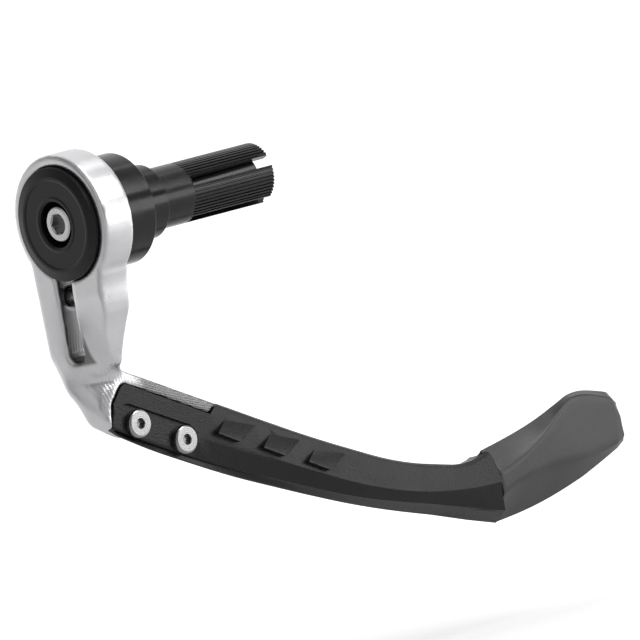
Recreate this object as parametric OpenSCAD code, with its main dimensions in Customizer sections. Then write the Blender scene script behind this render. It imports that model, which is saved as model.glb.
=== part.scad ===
// Brake lever guard: an aluminium arm clamped on a bar-end plug, with a moulded blade and tip.
// X runs along the handlebar towards the rider, Z points up, and the side with the screws faces -Y.
// The origin is on the bar's axis, where the end of the handlebar seats on the adaptor collar.

/* [Expander that grips inside the handlebar] */
// Outside diameter of the expander sleeve
sleeve_d = 17; // [13:0.1:18]
// Length of the smooth part of the sleeve
plain_l = 10.7; // [6:0.1:20]
// Length of the ribbed and slotted part of the sleeve
grip_l = 29.8; // [20:0.1:40]
// Width of each of the four slots in the sleeve
sleeve_slot_w = 3.2; // [1:0.1:4]
// Depth of the gripping ribs
rib_h = 0.4; // [0.2:0.05:0.6]
// Number of gripping ribs round the sleeve
rib_count = 52; // [24:4:60]
// Diameter of the wedge nut at its wide end
wedge_d = 11; // [10.2:0.1:11.6]
// Length of the wedge nut
wedge_l = 23; // [15:0.5:26]

/* [Collar, weight and cap on the bar's end] */
// Diameter of the adaptor collar
collar_d = 20.7; // [19:0.5:25]
// Length of the adaptor collar
collar_l = 9.2; // [6:0.5:14]
// Diameter of the bar-end weight
weight_d = 31; // [26:0.5:34]
// Length of the bar-end weight
weight_l = 11.9; // [8:0.1:18]
// Diameter of the spigot that the arm's ring clamps
spigot_d = 24; // [21:0.5:26]
// How much wider the end disc is than the weight
disc_over = 0.6; // [-1:0.1:1.5]
// Height of the end disc above the ring's face
disc_rise = 1.8; // [1.2:0.1:3]

/* [Bolts] */
// Thread diameter of the main bolt
main_bolt_d = 6; // [5:0.5:6]
// Thread diameter of the two blade screws
blade_screw_d = 5; // [4:0.5:5.5]
// Head diameter of the two blade screws
blade_head_d = 7.9; // [7.6:0.1:8.6]
// Distance between the two blade screws
blade_screw_pitch = 16.8; // [15:0.1:17.5]
// Thread diameter of the pinch screw
pinch_d = 5; // [4:0.5:5]

/* [Arm] */
// Outside diameter of the arm's ring
ring_d = 38; // [37:0.5:42]
// Thickness of the arm along the bar
arm_t = 10.2; // [9.5:0.1:13]
// Width of the clamp slot down the arm
arm_slot_w = 6; // [4:0.1:7]
// Radius of the elbow's outer face
elbow_r = 21; // [18:0.5:23]
// Depth of the bar's axis above the start of the elbow
elbow_drop = 43; // [42:0.5:45]
// Slope of the lug and the blade's root below the bar's axis
run_slope = 27.2; // [26:0.2:29]
// Thickness of the lug that carries the blade
lug_t = 9.5; // [8:0.1:11]
// Depth of the seat that takes the blade's root
seat_depth = 3.3; // [2.5:0.1:4]

/* [Blade and tip] */
// Length of the blade along the bar, from the lug's top corner to the seam
blade_l = 127.2; // [110:0.1:145]
// Length of the tip along the bar, from the seam to its end
tip_l = 47.7; // [40:0.1:55]
// Thickness of the blade at its back
blade_t = 10.5; // [9:0.1:12]
// Height of a tooth at its lower edge
tooth_h = 1.8; // [0.8:0.1:2.5]
// Distance between the teeth
tooth_pitch = 16.4; // [15:0.1:18]
// Radius of the seam between blade and tip
seam_r = 16; // [15:0.5:18]

/* [Fits] */
// Clearance of sliding fits, on the radius
fit_gap = 0.1; // [0.05:0.05:0.2]
// Gap between the moulded blade and the pieces round it
mould_gap = 0.15; // [0.1:0.05:0.25]

/* [Hidden] */
$fn = 64;

// Places along the bar
back_x = -collar_l - weight_l;
front_x = back_x - arm_t;
sleeve_end_x = plain_l + grip_l;
wedge_end_x = sleeve_end_x - 3.4;
wedge_start_x = wedge_end_x - wedge_l;
wedge_taper = 0.8;

// End disc and main bolt
disc_d = weight_d + disc_over;
disc_seat = 2.2;
boss_r = 8.2;
boss_seat = 7.2;
head_pocket_r = 6.35;
head_h = main_bolt_d;
head_r = main_bolt_d / 6 * 5;
head_face_x = front_x - 0.8;
bolt_tip_x = wedge_end_x - 4;

// Lug: its front face, and the line along its top edge
lug_y = 1.5;
lug_back_y = lug_y + lug_t;
seat_y = lug_y + seat_depth;
lug_top = [front_x + 13.7, -elbow_drop - 0.7];
bend_drop = elbow_drop + 1.2;
lug_len = 34;
strip_h = 3.4;

// Blade screws, on a line parallel to the lug
run_dir = [cos(run_slope), -sin(run_slope)];
screw_1 = [front_x + 14.3, -elbow_drop - 15.5];
screw_line = 26.6;
screw_2 = screw_1 + blade_screw_pitch * [cos(screw_line), -sin(screw_line)];
pocket_depth = 1;
pocket_r = blade_head_d / 2 + 0.5;
screw_travel = 4.2;
slot_travel = 1.1;
blade_face_y = lug_y - 0.3;
floor_y = blade_face_y + pocket_depth;

// Places on the blade and tip are measured from the lug's top corner and grow with their lengths
blade_u = blade_l / 127.2;
tip_u = tip_l / 47.7;
thick_u = blade_t / 10.5;
// Seam between blade and tip, an arc seen from the front
seam_end = lug_top + blade_l * [1, -0.474];
seam_c = seam_end - [seam_r, 0];
// A place to the lower left of the whole part, for cutting
beyond = [2 * front_x, seam_end[1] - 36];
// Plug on the blade's end that the tip slides over
plug = [14 * tip_u, 5 * thick_u, 6 * tip_u];
plug_at = [seam_end[0] - 8 * tip_u, 4.4 * thick_u, seam_end[1] - tip_u];

// Point i of a list, held at its ends
function at(rows, i) = rows[max(0, min(len(rows) - 1, i))];
// Smooth curve through rows of values, where u counts rows
function glide(rows, u) =
    let (i = min(floor(u), len(rows) - 2), f = u - i,
         a = at(rows, i - 1), b = at(rows, i), c = at(rows, i + 1), d = at(rows, i + 2))
    0.5 * (2 * b + f * (c - a) + f * f * (2 * a - 5 * b + 4 * c - d) + f * f * f * (3 * b - 3 * c + d - a));
// Faces of a closed loft whose rings all have n points
function loft_faces(rings, n) = concat(
    [[for (k = [0 : n - 1]) k]],
    [for (r = [0 : rings - 2], k = [0 : n - 1])
        [r * n + k, (r + 1) * n + k, (r + 1) * n + (k + 1) % n, r * n + (k + 1) % n]],
    [[for (k = [n - 1 : -1 : 0]) (rings - 1) * n + k]]);

// A disc or cone along the bar from x0 to x1
module turned(x0, x1, r0, r1 = undef) {
    translate([x0, 0, 0]) rotate([0, 90, 0])
        cylinder(h = x1 - x0, r1 = r0, r2 = is_undef(r1) ? r0 : r1);
}
// A hexagon socket cut down from the origin towards +Z
module hex_socket(across, depth) {
    cylinder(h = depth, r = across / sqrt(3), $fn = 6);
}
// An outline in X and Z, made solid from y0 to y1
module across(y0, y1) {
    translate([0, y1, 0]) rotate([90, 0, 0]) linear_extrude(y1 - y0) children();
}
// An outline in Y and Z, made solid from x0 to x1
module along(x0, x1) {
    translate([x0, 0, 0]) rotate([90, 0, 90]) linear_extrude(x1 - x0) children();
}
// Outline of a slot with round ends between two places
module obround(from, to, r) {
    step = 9;
    turn = atan2(to[1] - from[1], to[0] - from[0]);
    polygon(concat([for (a = [-90 : step : 90]) to + r * [cos(turn + a), sin(turn + a)]],
                   [for (a = [90 : step : 270]) from + r * [cos(turn + a), sin(turn + a)]]));
}
// A pin towards +Y from y0 to y1 at a place in X and Z
module pin(place, y0, y1, r) {
    translate([place[0], y0, place[1]]) rotate([-90, 0, 0]) cylinder(h = y1 - y0, r = r);
}

// Arm seen from the side: back edge straight, front edge round the elbow, then the lug
module arm_side() {
    bend_end = 60;
    bend = [for (a = [0 : 4 : bend_end])
        [front_x + elbow_r * (1 - cos(a)), -bend_drop - elbow_r * sin(a)]];
    last = bend[len(bend) - 1];
    lug_end = lug_top + lug_len * run_dir;
    polygon(concat(
        [[front_x, ring_d]], bend,
        [[lug_end[0] - 1.5, last[1] - (lug_end[0] - 1.5 - last[0]) * tan(run_slope) + 2.4],
         lug_end, lug_top, [back_x + 0.8, lug_top[1] + 1.4], [back_x, lug_top[1] + 3], [back_x, ring_d]]));
}
// Arm seen along the bar: straight far edge, near edge curving in towards the lug's face
module arm_front() {
    near = [[-12.75, -15], [-12, -16.8], [-11.5, -18.9], [-11.2, -21.2], [-10.8, -23.6], [-10.1, -26], [-8.3, -29], [-6.4, -32], [-4.6, -35.4], [-3.1, -38.5],
            [-2.4, -40.6], [lug_y, lug_top[1]]];
    far_y = 16;
    circle(d = ring_d);
    polygon(concat(
        [[far_y, 0], [0, 0], [-12, -12.5]], near,
        [[lug_y, -90], [lug_back_y, -90], [lug_back_y, -51], [13.4, -45.5], [far_y, -37]]));
}
// Ball-milled bowl that turns the arm's face into the lug's face.
// Rows: depth, width along the bar, end across the arm, width across the arm
bowl_rows = [
    [20, 0.3, -13.2, 0.4],
    [25, 0.4, -10.4, 4.4],
    [29, 1.3, -8.3, 7.8],
    [33, 3.0, -5.9, 10.4],
    [37, 5.2, -3.8, 12.2],
    [41, 8.8, -1.6, 13.0],
    [44.5, 12.4, 1.4, 12.2],
    [47.5, 9.0, 1.4, 10.6],
    [51, 4.8, 1.4, 8.6],
    [55, 1.6, 1.4, 6.0],
    [60, 0.2, 1.2, 1.0]];
bowl_steps = 4;
bowl_lead = 0.05;
bowl_arc = 10;
function elbow_x(depth) = depth < bend_drop ? front_x
    : front_x + elbow_r * (1 - sqrt(1 - pow((depth - bend_drop) / elbow_r, 2)));
function bowl_ring(row) = let (x0 = elbow_x(row[0]), out = 8)
    concat(
        [for (k = [0 : bowl_arc]) let (a = 90 * k / bowl_arc)
            [x0 - bowl_lead + row[1] * (1 - cos(a)), row[2] + row[3] * (1 - sin(a)), -row[0]]],
        [[x0 - bowl_lead + row[1], row[2] - out, -row[0]], [x0 - out, row[2] - out, -row[0]],
         [x0 - out, row[2] + row[3], -row[0]]]);
module bowl() {
    rings = [for (j = [0 : (len(bowl_rows) - 1) * bowl_steps]) bowl_ring(glide(bowl_rows, j / bowl_steps))];
    n = bowl_arc + 4;
    polyhedron(points = [for (r = rings) each r], faces = loft_faces(len(rings), n), convexity = 6);
}
// Seat for the blade's root seen from the front, open below and beyond the lug's end
module seat_outline() {
    strip_0 = lug_top + strip_h * [-sin(run_slope), -cos(run_slope)];
    strip_end = strip_0 + 31 * run_dir;
    far = seam_end + [30, -36];
    polygon([strip_0, strip_0 + [-1.7, -0.7], strip_0 + [-5.3, -4.6], strip_0 + [-6.6, -9.8],
             strip_0 + [-6.3, -11.8], strip_0 + [-4.4, -14.2], [strip_0[0] - 4.1, far[1]], far, [far[0], 0],
             [strip_end[0] + 5, 0], strip_end + [4.3, 2.6], strip_end + [1.4, 1.2], strip_end]);
}
// Clamp slot, from the ring's bore down the arm to its round end
slot_start = [3.4, -10];
slot_end = [5, -35.6];
pinch_at = [front_x + arm_t / 2, -20.5];
pinch_seat_y = 11.5;
pinch_end_y = -8.5;
// Slope that thins the lug's back towards its lower edge, running out behind the elbow
module back_slope() {
    edge_y = 4.2;
    section = [[edge_y, -12], [20, -12], [20, 8], [lug_back_y + 0.6, 8], [edge_y, -0.5]];
    // Each station: place along the lug, and how far back the slope lies there
    stations = [[-10, 6], [1, 0], [60, 0]];
    rings = [for (st = stations) [for (p = section) [st[0], p[0] + st[1], p[1]]]];
    polyhedron(points = [for (r = rings) each r], faces = loft_faces(len(rings), len(section)), convexity = 4);
}
module lever_arm() {
    color([0.76, 0.76, 0.77]) difference() {
        intersection() {
            across(-ring_d, ring_d) arm_side();
            along(front_x - 1, front_x + 50) arm_front();
        }
        bowl();
        translate([front_x + elbow_r / 2, 0, -elbow_drop - elbow_r * 0.9]) rotate([0, run_slope, 0])
            back_slope();
        across(lug_y - 6, seat_y) seat_outline();
        turned(front_x - 1, front_x + disc_seat, disc_d / 2 + fit_gap);
        turned(front_x + 1, back_x + 1, spigot_d / 2 + fit_gap);
        along(front_x - 1, back_x + 1) obround(slot_start, slot_end, arm_slot_w / 2);
        pin(pinch_at, pinch_end_y, ring_d, pinch_d / 2 + fit_gap);
        pin(pinch_at, pinch_seat_y, ring_d, pinch_d * 0.85 + 2 * fit_gap);
        for (place = [screw_1, screw_2]) pin(place, 0, ring_d, blade_screw_d / 2 + fit_gap);
    }
}

// Cap of the bar's end, with a bevelled rim, a shallow ring and a pocket for the bolt's head
module end_disc() {
    r = disc_d / 2;
    band = [7.6, 12.3];
    band_depth = 0.3;
    bevel = [2.2, 0.8];
    face_x = front_x - disc_rise;
    color([0.09, 0.09, 0.1]) difference() {
        union() {
            turned(face_x, face_x + bevel[1], r - bevel[0], r);
            turned(face_x + bevel[1], front_x + disc_seat, r);
            turned(front_x + disc_seat, front_x + boss_seat, boss_r);
        }
        difference() {
            turned(face_x - 1, face_x + band_depth, band[1]);
            turned(face_x - 2, face_x + band_depth + 1, band[0]);
        }
        turned(face_x - 1, head_face_x + head_h, head_pocket_r);
        turned(face_x, front_x + boss_seat + 1, main_bolt_d / 2 + fit_gap);
    }
}

// Socket-head bolt that draws the wedge nut into the sleeve
module main_bolt() {
    color([0.72, 0.72, 0.73]) difference() {
        union() {
            turned(head_face_x, head_face_x + 0.4, head_r - 0.4, head_r);
            turned(head_face_x + 0.4, head_face_x + head_h, head_r);
            turned(head_face_x + head_h, bolt_tip_x, main_bolt_d / 2);
        }
        translate([head_face_x, 0, 0]) rotate([0, 90, 0]) hex_socket(main_bolt_d * 5 / 6, 3);
    }
}

// Turned weight between ring and collar, with the spigot that the ring clamps
module bar_end_weight() {
    edge = 0.6;
    color([0.08, 0.08, 0.09]) difference() {
        union() {
            turned(front_x + disc_seat, back_x, spigot_d / 2);
            turned(back_x, back_x + edge, weight_d / 2 - edge, weight_d / 2);
            turned(back_x + edge, -collar_l - edge, weight_d / 2);
            turned(-collar_l - edge, -collar_l, weight_d / 2, weight_d / 2 - edge);
        }
        turned(front_x, front_x + boss_seat, boss_r + fit_gap);
        turned(front_x, 0, main_bolt_d / 2 + fit_gap);
    }
}

// Collar that the end of the handlebar seats on
module adaptor_collar() {
    edge = 0.4;
    color([0.08, 0.08, 0.09]) difference() {
        union() {
            turned(-collar_l, -collar_l + edge, collar_d / 2 - edge, collar_d / 2);
            turned(-collar_l + edge, 0, collar_d / 2);
        }
        turned(-collar_l - 1, 1, main_bolt_d / 2 + fit_gap);
    }
}

// Sleeve with straight gripping ribs, split by a cross of slots so that the wedge spreads it
// Each rib: crest, flank, valley, flank, as shares of the pitch
rib_form = [[0, 0], [0.5, 0], [0.62, 1], [0.88, 1]];
slot_turn = -22.5;
rib_phase = 0.466;
function rib_outline(r) = [for (i = [0 : rib_count - 1]) for (p = rib_form)
    let (a = slot_turn + 360 * (i + p[0] - rib_phase) / rib_count) (r - rib_h * p[1]) * [cos(a), sin(a)]];
module expander_sleeve() {
    r = sleeve_d / 2;
    mouth_r = wedge_d / 2 + 2 * fit_gap;
    neck_r = wedge_d / 2 * wedge_taper + 2 * fit_gap;
    bolt_hole_r = main_bolt_d / 2 + fit_gap;
    chamfer = 0.6;
    color([0.1, 0.1, 0.11]) difference() {
        union() {
            turned(0, plain_l, r);
            along(plain_l - 1, sleeve_end_x - chamfer) polygon(rib_outline(r - 0.05));
            turned(sleeve_end_x - chamfer - 1, sleeve_end_x - chamfer, r - rib_h - 0.1);
            turned(sleeve_end_x - chamfer, sleeve_end_x, r - rib_h - 0.1, r - rib_h - chamfer);
        }
        rotate([0, 90, 0]) rotate_extrude() polygon([[0, -1], [bolt_hole_r, -1],
            [bolt_hole_r, wedge_start_x - 2], [neck_r, wedge_start_x], [mouth_r, wedge_end_x],
            [mouth_r, sleeve_end_x + 1], [0, sleeve_end_x + 1]]);
        for (turn = [0, 90]) rotate([turn + slot_turn, 0, 0])
            translate([plain_l + 0.6, -r - 1, -sleeve_slot_w / 2]) cube([grip_l, 2 * r + 2, sleeve_slot_w]);
    }
}

// Tapered nut that the main bolt draws towards the collar
module wedge_nut() {
    color([0.07, 0.07, 0.08]) difference() {
        turned(wedge_start_x, wedge_end_x, wedge_d / 2 * wedge_taper, wedge_d / 2);
        turned(wedge_start_x - 1, wedge_end_x + 1, main_bolt_d / 2 + fit_gap);
    }
}

// Screw across the clamp slot, its head sunk in the arm's far edge
module pinch_screw() {
    head_l = pinch_d * 0.8;
    color([0.7, 0.7, 0.71]) difference() {
        union() {
            pin(pinch_at, pinch_end_y + 0.3, pinch_seat_y, pinch_d / 2);
            pin(pinch_at, pinch_seat_y, pinch_seat_y + head_l, pinch_d * 0.85);
        }
        translate([pinch_at[0], pinch_seat_y + head_l, pinch_at[1]]) rotate([90, 0, 0])
            hex_socket(pinch_d * 0.8, 2.4);
    }
}

// Blade along the bar, from the lug's top corner.
// Rows: x, top edge, ridge, lower line, lowest line, and how far back the lowest line lies
blade_rows = [
    [-10.4, 5.2, -6.8, -13.1, -14.5, 3],
    [3.6, -1.8, -13.9, -20.6, -22.4, 3.3],
    [17.6, -9.1, -20.7, -27.5, -29.3, 3.6],
    [31.6, -16.1, -27.7, -33.9, -35.8, 3.9],
    [45.6, -23.3, -34.1, -39.5, -41.5, 4.6],
    [59.6, -30.3, -40.6, -45.2, -47, 5.4],
    [73.6, -36.8, -46.7, -50.4, -52.2, 6.1],
    [87.6, -42.8, -51.5, -54.6, -56.8, 6.8],
    [101.6, -46.9, -54.7, -58.3, -60.9, 7.4],
    [115.6, -48.8, -56.2, -61.9, -65, 7.8],
    [129.6, -42.6, -56.5, -65.5, -69.3, 8.2]];
blade_steps = 4;
ridge_out = 0.6;
function blade_ring(row) = let (x = lug_top[0] + blade_u * row[0], top = lug_top[1] + blade_u * row[1],
        rdg = lug_top[1] + blade_u * row[2], low = lug_top[1] + blade_u * row[3],
        bot = lug_top[1] + blade_u * row[4], far_y = row[5] * thick_u,
        y0 = blade_face_y, back = y0 + blade_t, out = ridge_out * max(0, min(1, (row[0] - 21.6) / 30)))
    [[x, y0 + 1.0, top], [x, y0 + 0.25, top - 0.6], [x, y0, top - 1.6], [x, y0 - out * 0.7, rdg + 1.2],
     [x, y0 - out, rdg], [x, y0 - out * 0.4, rdg - 1.0], [x, y0 + 1.2, low], [x, y0 + 1.9, low - 0.3],
     [x, far_y - 0.6, bot + 0.3], [x, far_y, bot], [x, far_y + 0.8, bot + 0.4],
     [x, back - 1.2, bot + 6], [x, back, bot + 8.5], [x, back, top - 3.2],
     [x, back - 0.8, top - 1.4], [x, back - 2.2, top - 0.4], [x, y0 + 2.6, top + 0.2]];
module blade_body() {
    rings = [for (j = [0 : (len(blade_rows) - 1) * blade_steps])
        blade_ring(glide(blade_rows, j / blade_steps))];
    polyhedron(points = [for (r = rings) each r], faces = loft_faces(len(rings), len(rings[0])), convexity = 6);
}
// Raised wedge tooth: flush at its upper edge and proud at its lower edge
tooth_at = [[0, 0], [10.3, -3.6], [2.7, -6.7], [-4.4, -2.9]];
module tooth(place) {
    y0 = blade_face_y;
    hull() {
        across(y0 - 0.1, y0 + 2) translate(place) polygon([tooth_at[0], tooth_at[1], tooth_at[2], tooth_at[3]]);
        across(y0 - tooth_h, y0 + 2) translate(place) polygon([tooth_at[2], tooth_at[3],
            tooth_at[3] + [0.5, 0.6], tooth_at[2] + [0.6, 0.6]]);
    }
}
tooth_start = lug_top + [30.5, -20];
tooth_slope = 25.4;
module guard_blade() {
    screw_dir = [cos(screw_line), -sin(screw_line)];
    lug_end = lug_top + lug_len * run_dir;
    color([0.13, 0.13, 0.14]) difference() {
        union() {
            intersection() {
                blade_body();
                across(-10, 30) offset(delta = -mould_gap) seat_outline();
                across(-10, 30) {
                    translate(beyond) square([seam_c[0], 0] - beyond);
                    translate(seam_c) circle(seam_r - mould_gap);
                }
            }
            for (i = [0 : 2])
                tooth(tooth_start + i * tooth_pitch * [cos(tooth_slope), -sin(tooth_slope)]);
            translate(plug_at) cube(plug);
        }
        // Room for the lug behind the blade's root
        across(seat_y, 40) polygon([[beyond[0], 0], beyond, [lug_end[0] - 1, beyond[1]],
            [lug_end[0] + mould_gap, lug_end[1] - 6], [lug_end[0] + mould_gap + 0.6, 0]]);
        across(-5, floor_y) obround(screw_1 - screw_travel * screw_dir, screw_2, pocket_r);
        for (place = [screw_1, screw_2])
            across(-5, 20) obround(place - slot_travel * screw_dir, place, blade_screw_d / 2 + fit_gap);
    }
}

// Low-head screw that clamps the blade on the lug
module blade_screw(place) {
    head_l = 1.8;
    screw_l = 6.2;
    head_r = blade_head_d / 2;
    color([0.74, 0.74, 0.75]) difference() {
        union() {
            pin(place, floor_y, floor_y + screw_l, blade_screw_d / 2);
            pin(place, floor_y - head_l + 0.3, floor_y, head_r);
            translate([place[0], floor_y - head_l, place[1]]) rotate([-90, 0, 0])
                cylinder(h = 0.3, r1 = head_r - 0.3, r2 = head_r);
        }
        translate([place[0], floor_y - head_l, place[1]]) rotate([-90, 0, 0]) hex_socket(3, 1.3);
    }
}
module blade_screw_front() { blade_screw(screw_1); }
module blade_screw_rear() { blade_screw(screw_2); }

// Corners of the tip, from the seam's end: on its front ridges, round its outline and round its back
tip_r = 0.6;
tip_front = [[-11.6, 1.7, 6.5], [11.9, 1.4, 10.9], [28.7, 2.2, 21.4], [43.8, 3.6, 6.2],
    [13, 1.6, 4.8], [-11.6, 2.4, -0.2]];
tip_edge = [[-10.6, 4.4, 12.7], [14.5, 4.8, 17.2], [30.7, 5.6, 22.3], [33.6, 6, 22.4],
    [42.8, 6, 19.9], [45.5, 6, 18.5], [47, 6, 15.6], [47.7, 6, 6.9], [46.5, 6, 5.4],
    [38.4, 6.4, 2.2], [26.3, 6.8, -1.9], [14.4, 7.2, -5], [-2.5, 8, -7.2], [-9.6, 8, -6.6]];
tip_back = [[-9.6, 6.5], [14.4, 11.5], [29.4, 16.4], [34.4, 17], [39.9, 15.5], [42.2, 13],
    [42.8, 8.4], [34.4, 4.6], [24.4, 1], [14.4, -1.6], [-2.6, -3.8], [-8.6, -3.8]];
function on_tip(p, y) = [seam_end[0] + tip_u * p[0], y, seam_end[1] + tip_u * p[len(p) - 1]];
module tip_cap() {
    middle = [16.4, 0, 7];
    back_y = blade_face_y + blade_t + 1.3;
    color([0.2, 0.2, 0.21]) difference() {
        hull() {
            for (p = tip_front) translate(on_tip(p, p[1] * thick_u + tip_r)) sphere(tip_r, $fn = 16);
            for (p = tip_edge) {
                inward = [middle[0] - p[0], 0, middle[2] - p[2]];
                translate(on_tip(p, p[1] * thick_u) + tip_r * inward / norm(inward)) sphere(tip_r, $fn = 16);
            }
            for (p = tip_back) translate(on_tip(p, back_y - tip_r)) sphere(tip_r, $fn = 16);
        }
        across(-10, 30) {
            translate(seam_c) circle(seam_r);
            translate(beyond) square([seam_c[0], 0] - beyond);
        }
        translate(plug_at - fit_gap * [1, 1, 1]) cube(plug + 2 * fit_gap * [1, 1, 1]);
    }
}

lever_arm();
end_disc();
main_bolt();
bar_end_weight();
adaptor_collar();
expander_sleeve();
wedge_nut();
pinch_screw();
guard_blade();
blade_screw_front();
blade_screw_rear();
tip_cap();
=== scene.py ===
# %% [markdown]
# This lesson dresses a brake lever guard: a milled aluminium arm that is clamped on the end of a
# handlebar, with a moulded blade and tip that keep a brake lever from being touched in close riding.
# The solid model was made first and comes in as a fixed frame, in metres. X runs along the bar
# towards the rider, Z is up, and the side with the screws faces -Y. We load it before anything else,
# so that every piece made here can take its place and size from a solid of that model.

# %% Load the frame
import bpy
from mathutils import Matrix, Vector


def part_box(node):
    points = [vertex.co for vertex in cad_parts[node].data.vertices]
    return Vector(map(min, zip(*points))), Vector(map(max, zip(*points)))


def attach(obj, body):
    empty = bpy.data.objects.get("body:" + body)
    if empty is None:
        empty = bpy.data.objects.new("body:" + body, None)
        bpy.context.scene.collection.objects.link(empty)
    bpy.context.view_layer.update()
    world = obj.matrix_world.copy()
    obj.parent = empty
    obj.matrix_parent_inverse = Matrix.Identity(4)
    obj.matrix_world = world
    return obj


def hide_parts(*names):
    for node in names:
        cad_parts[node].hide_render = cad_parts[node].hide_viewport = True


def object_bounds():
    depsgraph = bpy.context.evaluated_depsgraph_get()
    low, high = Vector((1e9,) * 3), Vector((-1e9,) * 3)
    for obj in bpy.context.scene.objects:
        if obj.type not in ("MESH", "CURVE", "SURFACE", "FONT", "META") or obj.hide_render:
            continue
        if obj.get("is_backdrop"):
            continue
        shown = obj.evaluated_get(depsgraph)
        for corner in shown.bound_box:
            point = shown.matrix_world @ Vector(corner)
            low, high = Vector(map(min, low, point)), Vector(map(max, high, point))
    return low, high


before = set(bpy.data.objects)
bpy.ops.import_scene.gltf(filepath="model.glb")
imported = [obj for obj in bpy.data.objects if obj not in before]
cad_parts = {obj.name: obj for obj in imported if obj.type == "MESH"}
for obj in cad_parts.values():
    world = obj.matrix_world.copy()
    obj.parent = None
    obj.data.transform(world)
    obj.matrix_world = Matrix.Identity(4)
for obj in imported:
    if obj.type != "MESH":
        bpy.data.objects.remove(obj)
cad_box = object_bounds()
print("nodes:", sorted(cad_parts))
print("box in mm:", [[round(v * 1000, 1) for v in c] for c in cad_box])

# %% [markdown]
# Sizes are written in millimetres, as on a maker's drawing, and Blender works in metres, so one
# factor turns the first into the second. The view transform is Standard, which shows colours as
# they are, where a film look would press the highlights together.

# %% Tools of the lesson
import math
import bpy
from mathutils import Matrix, Vector, geometry

MM = 0.001
scene = bpy.context.scene
scene.view_settings.view_transform = "Standard"
print("view transform:", scene.view_settings.view_transform)

# %% [markdown]
# The camera stands far away and has a very long lens, because the photograph shows almost no
# perspective: the bar and the blade keep their thickness along their length. Its three directions
# were worked out from the ring, the bar and the blade, and are written as the camera's right, up
# and backward directions. The lens is chosen so that 176 mm fill the frame at the depth of the
# object's middle, which lies behind the point that the camera looks at.

# %% Camera
camera_right = Vector((0.740, -0.6426, -0.1995)).normalized()
roughly_up = Vector((0.198, -0.075, 0.977))
camera_back = camera_right.cross(roughly_up).normalized()
camera_up = camera_back.cross(camera_right).normalized()
look_at = Vector((15.90, -43.52, -39.68)) * MM
middle_depth = 66 * MM
camera_distance = 6.5
frame_width = 176 * MM

camera_data = bpy.data.cameras.new("camera")
camera = bpy.data.objects.new("camera", camera_data)
scene.collection.objects.link(camera)
camera_turn = Matrix((camera_right, camera_up, camera_back)).transposed().to_4x4()
camera_place = look_at + camera_back * (camera_distance - middle_depth)
camera.matrix_world = Matrix.Translation(camera_place) @ camera_turn
camera_data.lens = camera_data.sensor_width * camera_distance / frame_width
camera_data.clip_end = 50
scene.camera = camera
print("lens in mm:", round(camera_data.lens))

# %% [markdown]
# Every piece below is made with the same few moves, so they are written down once. `pick` deselects
# everything before it selects a piece, because an operator acts on all that is selected. `worked`
# adds a modifier and applies it at once, as pressing Apply would. `soften` rounds the sharp edges,
# because no machined or moulded edge is perfectly sharp, and the thin highlight that a rounded edge
# catches is what makes a render look real. `smooth` then shades the surface up to an angle, and
# `stands_for` says which solid of the frame the finished piece takes the place of.

# %% Moves that are used again and again
def pick(piece):
    bpy.ops.object.select_all(action="DESELECT")
    piece.select_set(True)
    bpy.context.view_layer.objects.active = piece


def worked(piece, kind, **settings):
    pick(piece)
    bpy.ops.object.modifier_add(type=kind)
    modifier = piece.modifiers[-1]
    for key, value in settings.items():
        setattr(modifier, key, value)
    bpy.ops.object.modifier_apply(modifier=modifier.name)


def smooth(piece, angle):
    pick(piece)
    bpy.ops.object.shade_smooth_by_angle(angle=math.radians(angle))
    worked(piece, "WEIGHTED_NORMAL", keep_sharp=True, weight=60)


def soften(piece, width, angle=30, segments=3):
    worked(piece, "BEVEL", width=width * MM, segments=segments, limit_method="ANGLE",
           angle_limit=math.radians(angle), use_clamp_overlap=True)
    smooth(piece, angle)


def stands_for(piece, node):
    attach(piece, "root")
    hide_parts(node)
    print(piece.name, "for", node, "with", len(piece.data.polygons), "faces")

# %% [markdown]
# The disc, the weight, the collar, the nut and the screws come off a lathe, so each is made from
# one circle round the bar's axis. The circle's edge is extruded, scaled and moved to the next point
# of the profile, just as a turned outline goes from point to point. A spin of a drawn profile would
# give the same shape, but this way the numbers in the list are the real radii and places.

# %% The lathe
def turn(name, profile, segments=96, closed=True):
    x, r = profile[0]
    bpy.ops.object.select_all(action="DESELECT")
    bpy.ops.mesh.primitive_circle_add(vertices=segments, radius=r * MM, location=(x * MM, 0, 0),
                                      rotation=(0, math.pi / 2, 0))
    piece = bpy.context.object
    piece.name = name
    bpy.ops.object.transform_apply(location=True, rotation=True, scale=True)
    bpy.ops.object.mode_set(mode="EDIT")
    bpy.ops.mesh.select_all(action="SELECT")
    if not closed:
        bpy.ops.mesh.edge_face_add()
    for x_next, r_next in profile[1:] + (profile[:1] if closed else []):
        bpy.ops.mesh.extrude_edges_move()
        bpy.ops.transform.resize(value=(1, r_next / r, r_next / r), center_override=(x * MM, 0, 0))
        bpy.ops.transform.translate(value=((x_next - x) * MM, 0, 0))
        x, r = x_next, r_next
    if not closed:
        bpy.ops.mesh.edge_face_add()
    bpy.ops.mesh.select_all(action="SELECT")
    bpy.ops.mesh.remove_doubles(threshold=1e-6)
    bpy.ops.mesh.normals_make_consistent(inside=False)
    bpy.ops.object.mode_set(mode="OBJECT")
    return piece

# %% [markdown]
# The end disc closes the bar's end. It has a wide bevel that catches the light at its rim, a shallow
# ring turned into its face and a deep pocket for the bolt's head. A piece made on the lathe keeps
# the rim perfectly round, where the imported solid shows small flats.

# %% End disc
bolt_hole_r = 3.1
disc_proud = 1.8
disc_seat = 2.2
disc_step_r = 8.2
rim_rise = 0.55
rim_slope = 2.5
ring_outer_r = 12.2
ring_inner_r = 7.75
ring_depth = 0.22
ring_slope = 0.25
head_pocket_r = 6.35
head_pocket_depth = 7
pocket_mouth = 0.45

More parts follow.
